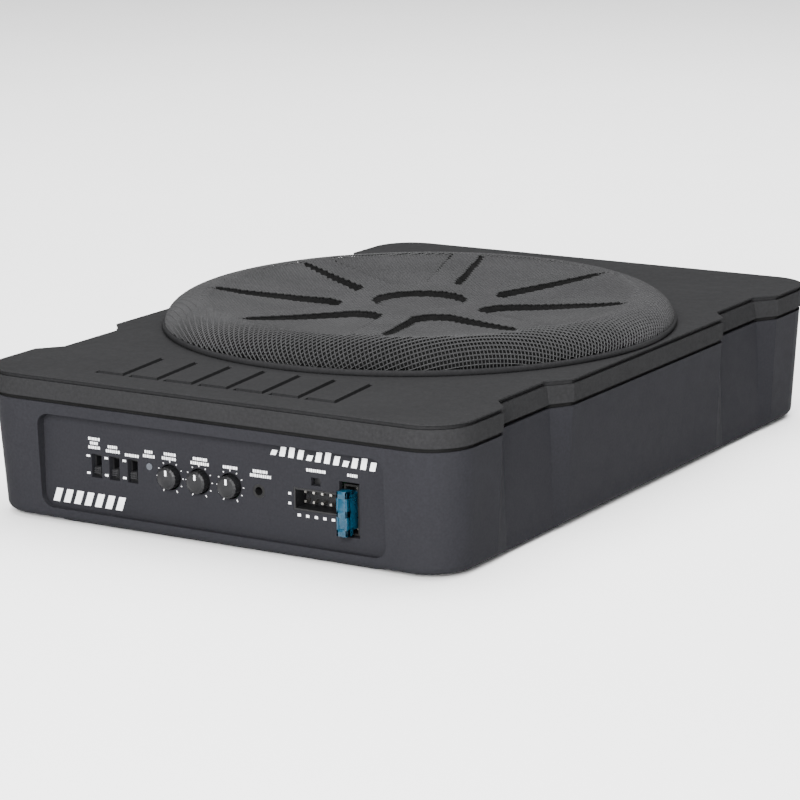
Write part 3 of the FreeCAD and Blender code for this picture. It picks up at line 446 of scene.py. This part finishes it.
def panel_sink(x, y):
    """How far the grille's surface is pressed down at a place, in metres."""
    to_rim = RIM_RADIUS + 2 * MM - np.hypot(x, y)
    fade = np.clip(to_rim / (RIM_RADIUS - WEDGE_TIP), 0, 1) ** 0.4
    wedges = WEDGE_SINK * fade * smooth_step(-PANEL_WALL, PANEL_WALL, into_wedge(x, y))
    hub = HUB_SINK * smooth_step(-PANEL_WALL, PANEL_WALL, into_hub(x, y))
    return wedges + hub


def snap_to_walls(u, v):
    """Moves places near a pressed edge onto its upper or lower line, so that the edge is clean."""
    step = 0.01 * MM
    for distance in (into_wedge, into_hub):
        here = distance(u, v)
        slope_u = (distance(u + step, v) - here) / step
        slope_v = (distance(u, v + step) - here) / step
        target = np.where(here < 0, -PANEL_WALL, PANEL_WALL)
        near = (np.abs(here) < SNAP_REACH * CELL) & (np.hypot(u, v) < RIM_RADIUS - 2 * MM)
        shift = np.where(near, target - here, 0)
        u, v = u + slope_u * shift, v + slope_v * shift
    return u, v


def on_grille(u, v, drop):
    """The place on the drawn grille of a place on the flat blank, drop below the outer surface."""
    blank = np.hypot(u, v)
    past_rim = np.clip((blank - RIM_RADIUS) / (BLANK_RADIUS - RIM_RADIUS), 0, 1)
    shoulder = past_rim * math.pi / 2
    reach = GRILLE_RADIUS - RIM_RADIUS - drop
    tall = RIM_RISE - HEM - drop
    flat = blank <= RIM_RADIUS
    radius = np.where(flat, blank, RIM_RADIUS + reach * np.sin(shoulder))
    dish = HUB_RISE + (RIM_RISE - HUB_RISE) * (blank / RIM_RADIUS) ** 2 - drop
    height = np.where(flat, dish, HEM + tall * np.cos(shoulder))
    scale = radius / np.maximum(blank, TINY)
    x, y = u * scale, v * scale
    return np.stack([x, y, GRILLE_BASE + height - panel_sink(x, y)], axis=-1)


def four_around(grid):
    """The values at the four corners of each cell of a grid, in order round the cell."""
    return grid[:-1, :-1], grid[1:, :-1], grid[1:, 1:], grid[:-1, 1:]


def pick_quads(corners, chosen):
    return np.stack([corner[chosen] for corner in corners], axis=-1)


def make_grille_mesh(name, dish):
    """The dish's or the shoulder's mesh: diamond cells with a raised strand along each side."""
    half = CELL / 2
    reach = int(BLANK_RADIUS / half) + 2
    span = np.arange(-reach, reach + 1)
    m, n = np.meshgrid(span, span, indexing="ij")
    u, v = half * (m + n), half * (m - n)
    blank = np.hypot(u, v)
    node_ok = blank < BLANK_RADIUS + 0.6 * half
    held = np.minimum(1, BLANK_RADIUS / np.maximum(blank, TINY))
    u, v = snap_to_walls(u * held, v * held)
    cell_ok = np.all(four_around(node_ok), axis=0)
    sunk = np.stack(four_around(panel_sink(u, v)))
    cell_ok &= sunk.max(axis=0) - sunk.min(axis=0) < MAX_CELL_DROP
    out = np.hypot(u[:-1, :-1], v[:-1, :-1])
    cell_ok &= (out < RIM_RADIUS) if dish else (out >= RIM_RADIUS)

    outer = four_around(np.arange(u.size).reshape(u.shape))
    around_u, around_v = four_around(u), four_around(v)
    middle_u, middle_v = sum(around_u) / 4, sum(around_v) / 4
    places = [on_grille(u, v, 0.0).reshape(-1, 3)]
    cell_index = np.arange(cell_ok.size).reshape(cell_ok.shape)
    inner = []
    for corner in range(4):
        inner_u = around_u[corner] * (1 - STRAND) + middle_u * STRAND
        inner_v = around_v[corner] * (1 - STRAND) + middle_v * STRAND
        places.append(on_grille(inner_u, inner_v, STRAND_DEPTH).reshape(-1, 3))
        inner.append(u.size + corner * cell_ok.size + cell_index)

    faces = []
    for corner in range(4):
        after = (corner + 1) % 4
        sides = outer[corner], outer[after], inner[after], inner[corner]
        faces.append(pick_quads(sides, cell_ok))
    # Undersides: across each edge that two cells share, then under each node where four meet.
    first, second, third, fourth = inner
    across = second[:-1, :], third[:-1, :], fourth[1:, :], first[1:, :]
    faces.append(pick_quads(across, cell_ok[:-1, :] & cell_ok[1:, :]))
    across = third[:, :-1], fourth[:, :-1], first[:, 1:], second[:, 1:]
    faces.append(pick_quads(across, cell_ok[:, :-1] & cell_ok[:, 1:]))
    under = third[:-1, :-1], fourth[1:, :-1], first[1:, 1:], second[:-1, 1:]
    faces.append(pick_quads(under, np.all(four_around(cell_ok), axis=0)))

    corners = np.concatenate(places)
    faces = np.concatenate(faces)
    used, flat = np.unique(faces, return_inverse=True)
    mesh = mesh_from(name, corners[used].tolist(), flat.reshape(faces.shape).tolist())
    turn_outwards(mesh)
    piece = add_piece(name, mesh, "mesh", smooth=False)
    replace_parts(piece, "woofer_grille")


def make_grille_liner():
    """A near-black sheet that follows the mesh from below, pressed panels and all: painted shade
    that darkens the view through the mesh and through the open cells along its pressed walls.
    """
    turns = np.linspace(0, 2 * math.pi, LINER_STEPS, endpoint=False)
    grid, angle = np.meshgrid(LINER_RADII, turns, indexing="ij")
    u, v = grid * np.cos(angle), grid * np.sin(angle)
    drops = (LINER_DROP, LINER_DROP + LINER_THICK)
    corners = np.concatenate([on_grille(u, v, drop).reshape(-1, 3) for drop in drops])
    index = np.arange(grid.size).reshape(grid.shape)
    following = np.roll(index, -1, axis=1)
    top = np.stack([index[:-1], following[:-1], following[1:], index[1:]], axis=-1)
    top = top.reshape(-1, 4)
    faces = [top, top[:, ::-1] + grid.size]
    for ring, flip in ((0, 1), (-1, -1)):
        here, there = index[ring], following[ring]
        rim = [here, there, there + grid.size, here + grid.size]
        faces.append(np.stack(rim[::flip], axis=-1))
    mesh = mesh_from("grille_liner", corners.tolist(), np.concatenate(faces).tolist())
    turn_outwards(mesh)
    add_piece("grille_liner", mesh, "liner_shade")


def make_grille_ring():
    """The rolled hem that holds the mesh, standing on the lid."""
    low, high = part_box("grille_ring")
    outer, base = high.x, low.z
    roll_depth, roll_half = 0.8 * MM, 1.3 * MM
    profile = []
    for step in range(9):
        turn = math.pi * step / 8
        radius = outer - roll_depth + roll_depth * math.sin(turn)
        profile.append((radius, base + roll_half + roll_half * math.cos(turn)))
    foot = outer - 3.2 * MM
    profile += [(foot, base), (foot, base + 1.2 * MM), (outer - 1.6 * MM, base + 2 * roll_half)]
    piece = add_piece("grille_hem", lathe("grille_hem", profile, 180), "lid")
    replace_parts(crease(piece, 40), "grille_ring")


# Panel controls

SHAFT_RADIUS = 3 * MM
FLUTE_DEPTH = 0.28 * MM
# The two corners of the knob's profile that bound its gripped side
GRIPPED = (3, 4)
FUSE_LIP = 0.22 * MM
FUSE_RAIL = 0.9 * MM


def flute(radius, index, turn):
    """The knob's radius at a turn about its axis: 18 shallow flutes round the gripped side."""
    return radius - (FLUTE_DEPTH * abs(math.sin(9 * turn)) if index in GRIPPED else 0)


def make_knobs():
    """Fluted knobs with a dished face and a white pointer."""
    for name in ("gain", "crossover", "bass_boost"):
        node = name + "_knob"
        body = name + "_control"
        low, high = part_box(node)
        radius = (high.x - low.x) / 2
        x, z = (high.x + low.x) / 2, (high.z + low.z) / 2
        front, back, end = -low.y, -PANEL_FACE - 0.9 * MM, -high.y
        face = front - 0.35 * MM
        profile = [
            (0, face), (radius * 0.62, face), (radius * 0.78, front),
            (radius - 0.1 * MM, front - 0.5 * MM), (radius, back),
            (SHAFT_RADIUS, back), (SHAFT_RADIUS, end), (0, end),
        ]
        mesh = lathe(node, profile, 108, "-y", (x, 0, z), flute)
        knob = add_piece(node + "_cap", mesh, "knob", body)
        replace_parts(crease(knob, 30), node)
        half = 0.45 * MM
        outline = rectangle(x - half, x + half, z + 1.2 * MM, z + 3.6 * MM)
        mark = prism(name + "_mark", outline, low.y - 0.02 * MM, low.y + 0.5 * MM)
        add_piece(name + "_pointer", mark, "print", body, False)


def make_sliders():
    """Switch levers with three grip ribs."""
    for name in ("low_pass_switch", "phase_switch", "input_switch"):
        node = name + "_slider"
        low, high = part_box(node)
        ribs = []
        inset = 0.2 * MM
        for step in range(3):
            base = low.z + (0.25 + 0.95 * step) * MM
            outline = rectangle(low.x + inset, high.x - inset, base, base + 0.55 * MM)
            ribs.append(prism("rib", outline, low.y, low.y + 1.2 * MM))
        stem = rectangle(low.x, high.x, low.z, high.z)
        ribs.append(prism("stem", stem, low.y + 0.6 * MM, high.y))
        mesh = join_meshes(node, ribs)
        piece = add_piece(node + "_lever", mesh, "grey", name)
        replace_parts(crease(piece, 35, 0.12 * MM), node)


def make_fuse():
    """A blade fuse: a slab with a lip at each end, a rail along each side and a middle bar."""
    low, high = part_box("fuse_body")
    front, back = low.y, high.y
    tall = high.z - low.z

    def slab(inset, bottom, top, near, far):
        """A block over the whole width less an inset; bottom and top are shares of the height."""
        bottom, top = low.z + bottom * tall, low.z + top * tall
        return prism("slab", rectangle(low.x + inset, high.x - inset, bottom, top), near, far)

    parts = [
        slab(0, 0, 0.16, front, front + 5.2 * MM),
        slab(0, 0.84, 1, front, front + 5.2 * MM),
        slab(FUSE_LIP, 0.1, 0.9, front + FUSE_LIP, back),
        slab(0, 0.42, 0.58, front, front + 3.4 * MM),
    ]
    for left, right in ((low.x, low.x + FUSE_RAIL), (high.x - FUSE_RAIL, high.x)):
        outline = rectangle(left, right, low.z, high.z)
        parts.append(prism("rail", outline, front, front + 2.6 * MM))
    mesh = join_meshes("fuse_shell", parts)
    piece = add_piece("fuse_shell", mesh, "fuse", "fuse")
    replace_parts(crease(piece, 35, 0.15 * MM), "fuse_body")


# White print on the panel. Its places and sizes are in millimetres.

PRINT_FRONT = PANEL_FACE - 0.06 * MM
PRINT_BACK = PANEL_FACE + 0.04 * MM
# Middle, lowest row, width and number of rows of each caption
CAPTIONS = (
    (-60.9, 34.8, 6.4, 3), (-51.0, 34.2, 7.6, 2), (-41.0, 33.6, 7.4, 1), (-32.0, 34.4, 6.4, 2),
    (-21.4, 34.6, 7.8, 2), (-5.8, 34.4, 9.4, 2), (10.0, 34.6, 7.8, 1), (25.0, 32.8, 10.4, 2),
    (52.6, 38.4, 9.4, 1), (70.4, 38.6, 5.0, 1),
)
ROW_STEP = 1.9
DASH_WIDTHS = (0.8, 0.55, 0.95, 0.7, 0.45, 0.85)
DASH_TALL = 1.25
DASH_GAP = 0.34
SWITCH_MARKS = (-64.4, -54.8, -45.2)
KNOB_CENTRES = (-21.3, -6.3, 9.6)
KNOB_HEIGHT = 27.2
TICK_HALF = 0.17
CONTACT_DOTS = (44.0, 48.2, 52.4, 56.6, 60.8)
ROW_DOTS = (27.4, 23.2)


def print_mark(name, outlines):
    """A piece of thin raised shapes over outlines of (x, z)."""
    meshes = []
    for outline in outlines:
        spots = [(x * MM, z * MM) for x, z in outline]
        meshes.append(prism("mark", spots, PRINT_FRONT, PRINT_BACK))
    add_piece(name, join_meshes(name, meshes), "print", smooth=False)


def bar(x, z, wide, tall, lean=0.0):
    half = wide / 2
    return [(x - half, z), (x + half, z), (x + half + lean, z + tall), (x - half + lean, z + tall)]


def dashes(left, z, wide):
    """A row of short upright dashes that stands in for a line of small print."""
    row = []
    edge = left
    while edge < left + wide - 0.4:
        dash = DASH_WIDTHS[len(row) % len(DASH_WIDTHS)]
        row.append(bar(edge + dash / 2, z, dash, DASH_TALL))
        edge += dash + DASH_GAP
    return row


def tick(x, turn, near, far):
    """A scale mark beside a knob, from one distance to another along a turn from upright."""
    sine, cosine = math.sin(turn), math.cos(turn)
    outline = []
    for distance, side in ((near, -1), (near, 1), (far, 1), (far, -1)):
        along = side * TICK_HALF
        outline.append(
            (x + distance * sine + along * cosine, KNOB_HEIGHT + distance * cosine - along * sine)
        )
    return outline


def make_print():
    captions = []
    for x, z, wide, rows in CAPTIONS:
        for row in range(rows):
            width = wide if row % 2 == 0 else wide * 0.72
            captions += dashes(x - width / 2, z + row * ROW_STEP, width)
    for x in SWITCH_MARKS:
        captions += [bar(x, z, 1.8, 0.9) for z in (31.0, 23.4)]
    print_mark("panel_captions", captions)

    ticks = []
    for x in KNOB_CENTRES:
        for step in range(11):
            far = 7.4 if step % 5 == 0 else 7.0
            ticks.append(tick(x, math.radians(-150 + 30 * step), 6.4, far))
    print_mark("knob_scales", ticks)

    dots = [bar(x, 18.6, 1.5, 1.1) for x in CONTACT_DOTS]
    dots += [bar(39.4, z, 1.3, 1.0) for z in ROW_DOTS]
    print_mark("socket_marks", dots)

    # Seven slanted bars, and a row of bars of rising and falling height
    emblem = [bar(-82.5 + 5.6 * step, 9.0, 3.4, 6.0, 2.2) for step in range(7)]
    print_mark("panel_emblem", emblem)

    wave = []
    for step in range(12):
        x = 31.5 + 4.4 * step
        tall = 2.2 + 2.6 * abs(math.sin(step * 0.8))
        wave.append(bar(x, 43.4 - 0.1 * step, 2.6, tall, 1.0))
    print_mark("panel_wave", wave)


# Stage, lights and camera

FLOOR_HALF = 6
# Just under the base plate, so that no two faces lie in one plane
FLOOR_LEVEL = -0.2 * MM
WORLD_STRENGTH = 0.4
SKY_STRENGTH = 1.9
SKY_ANGLE = math.radians(70)


def make_stage():
    outline = rectangle(-FLOOR_HALF, FLOOR_HALF, -FLOOR_HALF, FLOOR_HALF)
    floor = mesh_from("floor", [(x, y, FLOOR_LEVEL) for x, y in outline], [(0, 1, 2, 3)])
    piece = bpy.data.objects.new("floor", floor)
    bpy.context.scene.collection.objects.link(piece)
    look = Look("pale_floor", (0.92, 0.92, 0.92), 0.9)
    look.color(look.mix(look.spread(look.noise(3, 2), 0, 1), (0.9, 0.9, 0.9), (0.93, 0.93, 0.93)))
    floor.materials.append(look.material)

    world = bpy.data.worlds.new("studio")
    bpy.context.scene.world = world
    world.use_nodes = True
    shade = world.node_tree.nodes["Background"]
    shade.inputs["Color"].default_value = (1, 1, 1, 1)
    shade.inputs["Strength"].default_value = WORLD_STRENGTH


def add_softbox(name, spot, target, side, power):
    """A square lamp of the given side, facing target."""
    lamp = bpy.data.lights.new(name, "AREA")
    lamp.shape = "SQUARE"
    lamp.size = side
    lamp.energy = power
    item = bpy.data.objects.new(name, lamp)
    item.location = spot
    facing = Vector(target) - Vector(spot)
    item.rotation_euler = facing.to_track_quat("-Z", "Y").to_euler()
    bpy.context.scene.collection.objects.link(item)


def make_lights():
    """Two softboxes, and a broad lamp that shines straight down on the whole floor."""
    add_softbox("overhead", (0.0, 0.5, 1.6), (0, 0, 0), 2.2, 95)
    add_softbox("beside_camera", (0.45, -1.5, 0.7), (0, 0, 0.03), 0.8, 80)
    lamp = bpy.data.lights.new("sky_panel", "SUN")
    lamp.energy = SKY_STRENGTH
    lamp.angle = SKY_ANGLE
    bpy.context.scene.collection.objects.link(bpy.data.objects.new("sky_panel", lamp))


CAMERA_SPOT = (0.7303, -1.2119, 0.3571)
CAMERA_TARGET = (-0.0718, 0.0991, 0.0)
CAMERA_ROLL = math.radians(-0.66)
CAMERA_LENS = 139.97


def make_camera():
    camera = bpy.data.objects.new("camera", bpy.data.cameras.new("camera"))
    camera.data.lens = CAMERA_LENS
    camera.data.sensor_width = 36
    camera.location = CAMERA_SPOT
    aim = Vector(CAMERA_TARGET) - camera.location
    look = aim.to_track_quat("-Z", "Y").to_matrix().to_4x4()
    roll = Matrix.Rotation(CAMERA_ROLL, 4, "Z")
    camera.matrix_world = Matrix.Translation(camera.location) @ look @ roll
    bpy.context.scene.collection.objects.link(camera)
    bpy.context.scene.camera = camera


NODE_LOOKS = {
    "enclosure_body": "case", "top_lid": "lid", "lid_gasket": "foam", "base_plate": "plate",
    "woofer_basket": "basket", "woofer_trim_ring": "black", "woofer_surround": "rubber",
    "woofer_cone": "cone", "dust_cap": "cone", "coil_former": "aluminium", "voice_coil": "copper",
    "yoke_and_pole": "steel", "ring_magnet": "ferrite", "top_plate": "steel", "spider": "cloth",
    # remote_jack and fuse_holder are given the near-black of painted recess shade
    "terminal_strip": "brass", "control_panel": "panel", "power_led": "led", "remote_jack": "recess_shade",
    "power_connector": "black", "connector_pins": "tin", "connector_pin_guide": "grey",
    "fuse_holder": "recess_shade", "fuse_body": "fuse", "fuse_blades": "tin", "control_board": "board",
    "amplifier_board": "board", "board_standoffs": "brass", "filter_capacitors": "black",
    "power_transformer": "copper", "output_inductors": "copper", "heat_spreader": "aluminium",
    "power_transistors": "black", "board_link_header": "black", "bracket_thread_inserts": "brass",
}


def dress_cad_nodes():
    """Gives each CAD node its material. Of those not in NODE_LOOKS, screws are black zinc and
    the rest black nylon."""
    for name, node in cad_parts.items():
        look = NODE_LOOKS.get(name)
        if look is None:
            look = "screw" if name.endswith("screws") else "black"
        node.data.materials.clear()
        node.data.materials.append(LOOKS[look])
        node.data.set_sharp_from_angle(angle=math.radians(25))


make_camera()
make_stage()
make_lights()
dress_cad_nodes()
make_grille_mesh("grille_mesh_dish", True)
make_grille_mesh("grille_mesh_shoulder", False)
make_grille_liner()
make_grille_ring()
make_knobs()
make_sliders()
make_fuse()
make_print()
